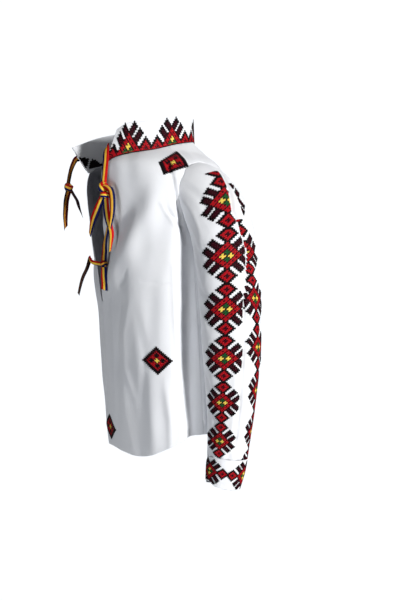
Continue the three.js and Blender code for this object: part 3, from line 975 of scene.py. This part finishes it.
# Where every 32nd row of the sleeve's two bands lies: place along and turn round.
bandRows = np.arange(-32, 193, 32.0)
mainBand = {
    "places": np.array([0.76, 2.46, 4.16, 5.58, 7.04, 8.56, 10.14, 11.72]),
    "turns": np.array([-14, 4.3, 20.9, 31.3, 35.8, 43.9, 48.4, 50]),
    "pitch": (3.3, 3.9),      # degrees for a stitch, before and behind its middle
    "start": -20,
    "end": 10.97,
}
sideBand = {
    "places": np.array([0.7, 2.36, 4.06, 5.3, 6.7, 8.14, 9.7, 11.2]),
    "turns": np.array([0, -2, -13.4, -28.9, -39.8, -49, -51, -52]),
    "pitch": (2.7, 2.7),
    "start": -10,
    "end": 10.97,
    "whole": 3.1,     # above this place only its outer corners show
}


def sewBand(work, band, keep):
    for j in range(band["start"], 192):
        above, place, below = (np.interp(j + k, bandRows, band["places"]) for k in (-1, 0, 1))
        if place > band["end"]:
            break
        centre = np.interp(j, bandRows, band["turns"])
        for i in range(-12, 13):
            pitch = band["pitch"][0 if i > 0 else 1]
            turn = centre - i * pitch
            code = bandStitch(i, j)
            hidden = place < band.get("whole", 0) and (abs(i) < 7 or code > 2)
            if not hidden and keep(place, turn):
                work.add(code, place, turn, (below - above) / 2, pitch)


def sewSleeve(shift):
    work = Embroidery(lambda a, b: sleevePoint(a, b, shift), flip=True)

    def behindTuck(place, turn):
        return turn < tuckTurn(place) - (2 if place > sideBand["whole"] else 6)

    sewBand(work, mainBand, lambda place, turn: turn > tuckTurn(place) + 1)
    sewBand(work, sideBand, behindTuck)
    return work


def aboveCuffEdge(p):
    return p[..., 2] - np.interp(p[..., 1], cuffEdge[:, 0], cuffEdge[:, 1])


cuffBand = {
    "pitch": 3.75,
    "firstTurn": 78.7,
    "middle": 1.46,
    "step": 0.107,
    "from": 0.1,
    "to": 2.9,
    "clear": 2.5,     # mm left free above the lower edge
}


def sewCuff():
    work = Embroidery(cuffPoint, flip=True)
    for j in range(96):
        turn = cuffBand["firstTurn"] - j * cuffBand["pitch"]
        for i in range(-12, 13):
            place = cuffBand["middle"] + i * cuffBand["step"]
            code = bandStitch(i, j)
            inside = cuffBand["from"] < place < cuffBand["to"]
            if code and inside and aboveCuffEdge(cuffPoint(place, turn)) > cuffBand["clear"]:
                work.add(code, place, aroundTurn(turn), cuffBand["step"], cuffBand["pitch"])
    return work


diamonds = [(55, -394, "front"), (-12, -535, "front"), (-56, -398, "front"), (124, -396, "back"),
            (-127, -392, "back"), (176, -508, "back")]
diamondPitch = (1.37, 2.55)    # degrees round, mm up
shoulderDiamond = [(69, -46), (88, -17.5), (89, -50.5), (70.5, -67)]
shoulderPitch = (1.5, 3.2)


def sewBody(panel):
    work = Embroidery(bodyPoint)
    cells = [(i, j) for i in range(-9, 10) for j in range(-9, 10)]
    for angle, level, side in diamonds:
        for i, j in cells if side == panel else []:
            spot = angle + i * diamondPitch[0], level + j * diamondPitch[1]
            work.add(diamondStitch(i, j), *spot, *diamondPitch)
    corners = np.array(shoulderDiamond, float)
    for sign in (1, -1) if panel == "front" else ():
        for i, j in cells:
            s, t = (i + j) / 18 + 0.5, (j - i) / 18 + 0.5
            low, high = corners[0] * (1 - s) + corners[3] * s, corners[1] * (1 - s) + corners[2] * s
            angle, level = low * (1 - t) + high * t
            work.add(diamondStitch(i, j), sign * angle, level, *shoulderPitch)
    return work


ribbon = {
    "width": 13.5,
    "thickness": 0.5,
    "step": 1.8,
    "columns": 10,
    "sway": 0.7,
    "pointedFrom": 0.62,     # share of the length
    "cutFrom": 0.75,
}

# Each stretch: its middle line, the ways its width lies along it, how its end is cut, which way
# its stripes run, how much painted shade it has at both ends (1 paints its stripes in shade, 2 paints
# them nearly black as shadow), how far it is rolled together, as the share of its width that is left,
# and how much its end is pointed.
ribbonLines = {
    "right_ribbon_strap": (
        [[-51, -98.3, -14], [-51.3, -104.8, -19], [-52, -113, -40], [-52, -117.3, -66]],
        [[0, -0.55, 0.83], [-0.3, -0.7, 0.3], [0.35, -0.93, 0]], 0, 1, (0.35, 1.9),
        (0.9, 0.75, 0.55, 0.5), 0),
    "right_ribbon_tail_a": (
        [[-52, -116.5, -76], [-52.5, -121.5, -100], [-52, -123, -122], [-52, -122, -150]],
        [[0.35, -0.93, 0], [0.35, -0.93, 0.02]], 5, -1, (0.7, 0.95), (0.95, 0.9, 0.85, 0.8), 0.25),
    "right_ribbon_tail_b": (
        [[-50, -113, -74], [-48, -104, -89], [-49, -97.5, -103], [-49, -90, -126]],
        [[0.9, 0.25, -0.35], [0.9, 0.25, -0.35]], -3, 1, (1.8, 1.95), (0.75, 0.7, 0.6, 0.45), 0.85),
    "left_ribbon_strap": (
        [[55, -66.9, -8.1], [57, -72, -12], [62, -76.5, -38], [63.5, -79.7, -78]],
        [[0.12, 0.3, 0.945], [0.72, 0.69, 0.05]], 0, 1, (0.45, 0.1), (0.95, 0.95, 0.95, 0.8), 0),
    "left_ribbon_tail_a": (
        [[62, -81, -99], [48, -86.5, -120], [31, -90, -138], [14, -92.5, -166]],
        [[0.5, 0.7, -0.48], [0.5, 0.7, -0.48]], 5, -1, (0, 0.3), (0.8, 0.97, 0.97, 0.9), 0.5),
    "left_ribbon_tail_b": (
        [[68, -78.5, -102], [67, -74.5, -136], [70, -68.5, -163], [70, -67.5, -181], [68, -69, -201]],
        [[0.72, 0.69, 0.1], [0.72, 0.69, 0.1]], -3, 1, (0, 0.1), (0.97, 0.97, 0.85, 0.55, 0.35), 0.4),
    "left_ribbon_loop": (
        [[70, -81, -84], [82, -73.4, -90], [85, -70, -106], [84, -70, -132], [77, -72, -158]],
        [[0.6, 0.8, 0.1], [0.6, 0.8, 0.1]], 3, -1, (0.55, 0.4), (0.5, 0.8, 0.85, 0.75, 0.5), 0.3),
    "slit_ribbon_strap": (
        [[54, -67.5, -150], [41.5, -69.6, -178], [34.6, -70.5, -200], [33.8, -71, -218]],
        [[1, 0.08, 0], [0.72, 0.69, 0.1]], 0, -1, (0.6, 0.35), (0.8, 0.9, 0.95, 0.9), 0),
    "slit_ribbon_band": (
        [[-15.4, -83.2, -207], [-3, -84, -213.5], [12, -81, -219], [30, -72, -221.5]],
        [[0.02, -0.25, 0.97], [0.02, -0.25, 0.97]], 0, 1, (0, 0), (0.62, 0.6, 0.6, 0.6), 0),
    "slit_ribbon_tail_a": (
        [[33.7, -71, -225], [33.4, -70.6, -246], [32.5, -70, -258], [32, -69.5, -269.5]],
        [[0.72, 0.69, 0.08], [0.72, 0.69, 0.08]], 2, -1, (0, 0), (0.85, 0.97, 0.97, 0.97), 0),
    "slit_ribbon_tail_b": (
        [[-15.6, -83.8, -208], [-17, -88.5, -227], [-19, -97, -246], [-20, -104.8, -276.5]],
        [[0.6, 0.78, 0.2], [0.6, 0.72, 0.3]], 4, 1, (1.93, 1.93), (0.6, 0.45, 0.4, 0.35), 0.25),
}
# Each knot: its middle, its half sizes, its tilt and how much painted shade it has.
knots = {
    "right_ribbon_knot": ((-52, -117, -71), (7, 8, 8.5), 25, 0.6),
    "left_ribbon_knot_upper": ((63.3, -80.4, -84), (9, 9.8, 9.6), 58, 0),
    "left_ribbon_knot_lower": ((67.3, -78.6, -99), (8.6, 9.1, 6.9), 6, 0),
    "slit_ribbon_knot": ((33.8, -70.7, -221.5), (6, 6.2, 7.4), -20, 0.8),
}


rollAngles = np.linspace(0.05, 2.6, 120)


# A strip along points, as a closed thin band with how much painted shade each of its points has.
def stripMesh(middle, wide, widths, rolled, thickness, endCut=0.0, closed=False, stripes=1, shadeWeight=0.0):
    count = len(middle)
    if closed:
        along = unit(np.roll(middle, -1, 0) - np.roll(middle, 1, 0))
    else:
        along = unit(np.gradient(middle, axis=0))
    wide = unit(wide - along * (wide * along).sum(1, keepdims=True))
    thick = np.cross(along, wide)
    length = runningLength(middle)
    across = np.linspace(-1, 1, ribbon["columns"])
    roll = np.interp(rolled, (np.sin(rollAngles) / rollAngles)[::-1], rollAngles[::-1])
    roll = np.broadcast_to(roll, (count,))[:, None]
    reach = np.broadcast_to(widths, (count,))[:, None] / 2 / roll
    bow = reach * (np.cos(roll * across) - np.cos(roll))
    reach = reach * np.sin(roll * across)
    near = smoothStep(ribbon["cutFrom"], 1.0, length / length[-1])[:, None]
    points = (middle[:, None] + wide[:, None] * reach[..., None]
              + thick[:, None] * bow[..., None] + along[:, None] * (near * across * endCut)[..., None])
    flat = np.stack(np.broadcast_arrays((1 + stripes * across)[None] * ribbon["width"] / 2,
                                        length[:, None] + near * across * endCut), -1)
    shade = np.broadcast_to(np.reshape(shadeWeight, (-1, 1)), points.shape[:2])
    if closed:
        points = np.concatenate([points, points[:1]])
        flat = np.concatenate([flat, flat[:1] + [0, length[-1] + np.linalg.norm(middle[0] - middle[-1])]])
        shade = np.concatenate([shade, shade[:1]])
    grid = gridSheet(points, flat)
    sheet = weld(grid)
    _, first = np.unique(np.round(grid[0], 2), axis=0, return_index=True)
    shade = shade.reshape(-1)[first]
    # The other side of the band is painted at least in full shade.
    return (*shellOf(*sheet, thickness), np.concatenate([shade, np.maximum(shade, 1)]))


def makeRibbon(name, material):
    line, across, endCut, stripes, shadeWeight, rolled, point = ribbonLines[name]
    table = np.array(line, float)
    length = np.linalg.norm(np.diff(table, axis=0), axis=1).sum()
    place = np.linspace(0, len(table) - 1, int(length / ribbon["step"]) + 2)
    share = (place / place[-1])[:, None]
    wide = through(unit(np.array(across, float)), share[:, 0] * (len(across) - 1))
    middle = through(table, place)
    sway = np.sin(share * 9 + len(name)) * ribbon["sway"] * np.sin(np.pi * share)
    middle = middle + np.cross(unit(np.gradient(middle, axis=0)), unit(wide)) * sway
    share = share[:, 0]
    width = ribbon["width"] * (1 - point * smoothStep(ribbon["pointedFrom"], 1.05, share))
    rolled = np.interp(share, np.linspace(0, 1, len(rolled)), rolled)
    points, faces, corners, shade = stripMesh(middle, wide, width, rolled, ribbon["thickness"], endCut,
                                              False, stripes, shadeWeight[0] * (1 - share) + shadeWeight[1] * share)
    return makeObject(name + "_satin", points, faces, corners, material, shade), float(length)


# The turns of a knot: tilt, lean, size and width.
knotTurns = [(0, 0.0, 1.0, 0.95), (62, 0.5, 0.93, 0.8), (-55, -0.4, 0.9, 0.75)]
knotShape = {"ring": 0.86, "core": 0.72, "band": 1.5, "thickness": 0.6}
towardsTies = np.array([0.72, -0.69, 0.02])


# A knot: a small core and three turns of the ribbon drawn tight round it.
def makeKnot(name, material):
    centre, half, tilt, shadeWeight = knots[name]
    centre, half = np.array(centre, float), np.array(half, float)
    parts = []
    turns = np.radians(np.arange(0, 360, 7.5))
    for turn, lean, size, width in knotTurns:
        angle = math.radians(tilt + turn)
        axis = unit(np.array([math.sin(angle) * 0.72, math.sin(angle) * 0.69 + lean * 0.2, math.cos(angle)]))
        first = unit(np.cross(axis, towardsTies))
        second = np.cross(axis, first)
        ring = np.cos(turns)[:, None] * first + np.sin(turns)[:, None] * second
        wide = np.broadcast_to(axis, ring.shape) + ring * 0.15 * np.sin(turns * 2)[:, None]
        parts.append(stripMesh(centre + ring * half * size * knotShape["ring"], wide,
                               half[2] * knotShape["band"] * width, 0.95, knotShape["thickness"],
                               0, True, 1, shadeWeight))
    rows, columns = np.radians(np.linspace(0, 180, 9)), np.radians(np.linspace(0, 360, 17))
    ball = np.stack([np.outer(np.cos(columns), np.sin(rows)), np.outer(np.sin(columns), np.sin(rows)),
                     np.outer(np.ones(17), -np.cos(rows))], -1) * half * knotShape["core"] + centre
    flat = np.stack(np.meshgrid(np.linspace(0, 13.5, 17), np.linspace(0, 20, 9), indexing='ij'), -1)
    core = weld(gridSheet(ball, flat))
    # The core is painted in full shade.
    parts.append((*core, np.ones(len(core[0]))))
    starts = np.cumsum([0] + [len(part[0]) for part in parts])
    points, _, corners, shades = (np.concatenate([part[k] for part in parts]) for k in range(4))
    faces = np.concatenate([part[1] + start for part, start in zip(parts, starts)])
    return makeObject(name + "_satin", points, faces, corners, material, shades)


# The shirt itself.

makeCamera()
for row in lights:
    makeLight(*row)
print("camera and lights")

cottonCloth = makeCotton()
satin = makeRibbonSatin()
threads = {name: makeThread(name, colour) for name, colour in threadColours.items()}
crossTree = crossStitchTree()
print("materials")

# Body: one tube of points, opened at the slit, neck, hem and armholes.
angles = np.linspace(-180, 180, round(360 / body["stepRound"]) + 1)
levels = np.arange(body["levels"][0], body["levels"][1], body["stepUp"])
angleGrid, levelGrid = np.meshgrid(angles, levels, indexing='ij')
bodyPoints = bodyPoint(angleGrid, levelGrid)
bodyFlat = np.stack([angleGrid * body["perDegree"], levelGrid], -1)
bodySheet = gridSheet(bodyPoints, bodyFlat)
outsideBody = signedSide(*bodySheet[:2])


def armGrid(table, surface, first, last, step):
    places = np.linspace(last, first, int((last - first) / step) + 1)
    turns = np.linspace(180, -180, round(360 / sleeve["stepRound"]) + 1)
    turnGrid, placeGrid = np.meshgrid(turns, places, indexing='ij')
    down = np.interp(placeGrid, np.arange(len(table)), runningLength(table[:, :3]))
    return gridSheet(surface(placeGrid, turnGrid), np.stack([-turnGrid * sleeve["perDegree"], -down], -1))


leftArm, rightArm = (armGrid(sleeveTable, lambda a, b: sleevePoint(a, b, shift), 0, 11, sleeve["stepAlong"])
                     for shift in (0.0, sleeve["shiftOnRight"]))
outsideArm = signedSide(*leftArm[:2], nearness=45)
outsideOtherArm = signedSide(*rightArm[:2], nearness=45)

collarPlaces = np.linspace(8, 0, collar["steps"] + 1)
roots = collarRoot(collarPlaces)
plugPlaces = np.concatenate([collarPlaces[::4], [8.0]])
plugRoots = collarRoot(plugPlaces)
plugHeights = plugRoots[:, None] + np.array([[-0.5, 0, 0.4, 1, 2]])
plug = collarPoint(plugPlaces[:, None], plugHeights, collar["thickness"] / 2 + 0.05)
outsideNeck = signedSide(*gridSheet(plug, np.zeros(plug.shape[:2] + (2,)))[:2], nearness=70)


def seamSide(sign):
    return lambda p: sign * (np.interp(-p[:, 2], seamTable[:, 0], seamTable[:, 1]) - p[:, 1]) - 0.05


cuts = [
    lambda p: p[:, 2] - hemLevel(p),
    lambda p: np.where(p[:, 2] > body["neckBelow"], outsideNeck(p), 1e3),
    lambda p: np.where(p[:, 1] < -10, np.abs(p[:, 0]) - slitHalf(p[:, 2]), 1e3),
    lambda p: np.where(p[:, 0] > 60, outsideArm(p), 1e3) - 0.1,
    lambda p: np.where(p[:, 0] < -60, outsideOtherArm(p * [-1, 1, 1]), 1e3) - 0.1,
]
for cut in cuts:
    bodySheet = clipSheet(bodySheet, cut)
print("body cut")

pieces = {}
areas = {}


# Keeps the largest connected part of a sheet.
def mainPart(points, faces, corners):
    parent = np.arange(len(points))

    def root(k):
        while parent[k] != k:
            parent[k] = parent[parent[k]]
            k = parent[k]
        return k
    for a, b, c in faces:
        ra, rb, rc = root(a), root(b), root(c)
        parent[rb] = ra
        parent[root(rc)] = ra
    labels = np.array([root(k) for k in faces[:, 0]])
    names, counts = np.unique(labels, return_counts=True)
    keep = labels == names[counts.argmax()]
    used, newFaces = np.unique(faces[keep], return_inverse=True)
    return points[used], newFaces.reshape(-1, 3), corners[keep]


def addCloth(node, sheet, thickness):
    points, faces, corners = mainPart(*sheet)
    areas[node] = clothArea(points, faces)
    shell = shellOf(points, faces, corners, thickness)
    # Painted shade: the inner side of every cloth piece takes the full painted shade colour.
    inner = np.repeat([0.0, 1.0], len(points))
    pieces[node] = makeObject(node + "_cloth", *shell, cottonCloth, inner)
    print(node, len(shell[1]), "triangles, area", round(areas[node], 4))


addCloth("front", weld(clipSheet(bodySheet, seamSide(1))), body["thickness"])
addCloth("back", weld(clipSheet(bodySheet, seamSide(-1))), body["thickness"])

# Sleeves and cuffs: tubes with an underarm seam, the right ones mirrored.
leftTube, rightTube = (weld(clipSheet(arm, lambda p: outsideBody(p) - 0.1)) for arm in (leftArm, rightArm))
cuffTube = weld(clipSheet(armGrid(cuffTable, cuffPoint, 0, 3, cuff["stepAlong"]), aboveCuffEdge))
addCloth("left_sleeve", leftTube, sleeve["thickness"])
addCloth("right_sleeve", mirroredSheet(*rightTube), sleeve["thickness"])
addCloth("left_cuff", cuffTube, cuff["thickness"])
addCloth("right_cuff", mirroredSheet(*cuffTube), cuff["thickness"])

# Collar: a firm band whose section is rounded over its upper edge.
rounding = np.radians(np.linspace(0, 180, 7))[1:-1]
half, brim = collar["thickness"] / 2, collar["roundedFrom"]
section = [(h, half) for h in np.linspace(0, brim, collar["rows"])]
section += [(brim + (1 - brim) * math.sin(a), half * math.cos(a)) for a in rounding]
outerRows = len(section)
section += [(h, -half) for h in np.linspace(brim, 0, collar["rows"])]
section = np.array(section + [(0, half)])
spread = roots[:, None] + (1 - roots[:, None]) * section[None, :, 0]
swell = section[:, 0] ** 2 * np.sin(np.pi * section[:, 0])
ease = collar["swell"] * np.sin(collarPlaces * 5.2)[:, None] * swell[None]
collarGrid = collarPoint(collarPlaces[:, None], spread, section[None, :, 1] + ease)
collarAlong = runningLength(through(collarBase, collarPlaces))
climb = np.abs(np.diff(section, axis=0)) @ [collar["height"], 1]
rise = np.concatenate([[0], np.cumsum(climb)])
collarFlat = np.stack(np.broadcast_arrays(collarAlong[:, None], rise[None]), -1)
points, faces, corners = weld(gridSheet(collarGrid, collarFlat))
# Painted shade on the collar's inside face, darker further from its front end; its outside has none.
collarInnerShade = np.zeros(len(points) + 2)     # two more for the caps of its ends
fromEnd = collarAlong[-1] - corners[..., 0].reshape(-1)
near, far, least, more = collar["insideShade"]
insideShadeWeight = smoothStep(near, far, fromEnd) * more + least
collarInnerShade[faces.reshape(-1)] = np.where(corners[..., 1].reshape(-1) > rise[outerRows], insideShadeWeight, 0)


def capEnds(points, faces, corners):
    border = {a: b for a, b in openEdges(faces)}
    newFaces, newPoints = [], []
    while border:
        start, following = border.popitem()
        loop = [start]
        while following != start:
            loop.append(following)
            following = border.pop(following)
        centre = len(points) + len(newPoints)
        newPoints.append(points[loop].mean(0))
        newFaces += [[loop[(k + 1) % len(loop)], loop[k], centre] for k in range(len(loop))]
    faces = np.concatenate([faces, np.array(newFaces)])
    corners = np.concatenate([corners, np.zeros((len(newFaces), 3, 2))])
    return np.concatenate([points, newPoints]), faces, corners


collarArea = clothArea(points, faces) / 2
closed = capEnds(points, faces, corners)
pieces["collar"] = makeObject("collar_cloth", *closed, cottonCloth, collarInnerShade[:len(closed[0])])
areas["collar"] = collarArea
print("cloth made")

# Ribbons and knots.
lengths = {}
for name in ribbonLines:
    pieces[name], lengths[name] = makeRibbon(name, satin)
for name in knots:
    pieces[name] = makeKnot(name, satin)
print("ribbons made")

# Embroidery.
collarTotal = collarAlong[-1]
alongTable = collarTotal - collarAlong   # distance from the right front end, for places 8 to 0


def placeAlongCollar(distance):
    return np.interp(distance, alongTable[::-1], collarPlaces[::-1])


collarBand = {
    "pitch": 2.81,
    "rowHeight": 4.1,
    "firstRow": 3.6,
    "below": 54,
    "motifAt": 444.9,
    "edging": [(1, 0.4, 1.7), (3, 2.1, 1.8)],     # colour, height, size
}


def sewCollar(inner=False):
    offset = -half if inner else half

    def surface(along, height):
        place = placeAlongCollar(along)
        foot = np.maximum(collarRoot(place), -0.1)
        return collarPoint(place, foot + 0.03 + height / 58, np.full(np.shape(along), offset))

    work = Embroidery(surface, flip=not inner, lift=0.3)
    pitch, rowHeight = collarBand["pitch"], collarBand["rowHeight"]
    columns = int(collarTotal / pitch)
    for k in range(columns):
        distance = (k + 0.5) * pitch
        row = round((distance - collarBand["motifAt"]) / pitch)
        for code, height, size in [] if inner else collarBand["edging"]:
            work.add(code, distance, height, pitch, size)
        for i in range(13):
            height = i * rowHeight + collarBand["firstRow"]
            code = wrongSideStitch(min(k, columns - 1 - k), i) if inner else bandStitch(i, row) or int(i == 0)
            if height < collarBand["below"]:
                work.add(code, distance, height, pitch, rowHeight)
    return work


embroidery = {
    "left_sleeve": sewSleeve(0.0).pieces("left_sleeve", crossTree),
    "right_sleeve": sewSleeve(sleeve["shiftOnRight"]).pieces("right_sleeve", crossTree, mirror=True),
    "left_cuff": sewCuff().pieces("left_cuff", crossTree),
    "right_cuff": sewCuff().pieces("right_cuff", crossTree, mirror=True),
    "front": sewBody("front").pieces("front", crossTree),
    "back": sewBody("back").pieces("back", crossTree),
    "collar": sewCollar().pieces("collar", crossTree) + sewCollar(True).pieces("collar_inner", crossTree),
}
print("embroidery sewn")

# Declarations for the frame.
flats = {
    "front": (0.56, 0.60), "back": (0.56, 0.58), "left_sleeve": (0.36, 0.50), "right_sleeve": (0.36, 0.50),
    "left_cuff": (0.21, 0.055), "right_cuff": (0.21, 0.055), "collar": (0.49, 0.055),
}
for node, piece in pieces.items():
    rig.ride(piece, "root")
    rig.replaces(piece, node)
    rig.slot(piece, "cotton" if node in flats else "ribbon")
for node, made in embroidery.items():
    for piece in made:
        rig.ride(piece, "root")
for node, flat in flats.items():
    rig.sheet(pieces[node], flat=flat, held="hung", rests_on=[], area=round(areas[node], 4),
             with_pieces=embroidery.get(node, []))
for node, length in lengths.items():
    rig.sheet(pieces[node], flat=(0.0135, length * millimetre), held="hung", rests_on=[])

# Floor.
reach, level = studio["floorSize"] / 2, studio["floorLevel"]
floorCorners = np.array([(x * reach, y * reach, level) for x, y in ((-1, -1), (1, -1), (1, 1), (-1, 1))])
floorMaterial, _, _ = newMaterial("floor_paper", (0.93, 0.93, 0.93), 0.9)
floorFaces = np.array([(0, 1, 2), (0, 2, 3)])
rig.stage(makeObject("floor", floorCorners / millimetre, floorFaces, np.zeros((2, 3, 2)), floorMaterial))
world = bpy.data.worlds.new("surround")
scene.world = world
world.use_nodes = True
sky = world.node_tree
towards = addNode(sky, 'ShaderNodeTexCoord')
facingBack = addNode(sky, 'ShaderNodeVectorMath', {"operation": 'DOT_PRODUCT'},
                     {0: towards, 1: studio["backdropTowards"]}, 1)
glow = addNode(sky, 'ShaderNodeMapRange', {"interpolation_type": 'SMOOTHSTEP'},
               dict(enumerate((facingBack, *studio["backdropEdge"], studio["surround"], studio["backdrop"]))))
sky.links.new(glow.socket, sky.nodes['Background'].inputs[1])
sky.nodes['Background'].inputs[0].default_value = (0.94, 0.965, 1, 1)
scene.view_settings.view_transform = 'Standard'

json.dump({"cad": cadBox, "visual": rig.bounds()}, open("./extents.json", "w"), default=lambda v: [list(map(float, p)) for p in v] if len(np.shape(v)) > 1 else list(map(float, v)))
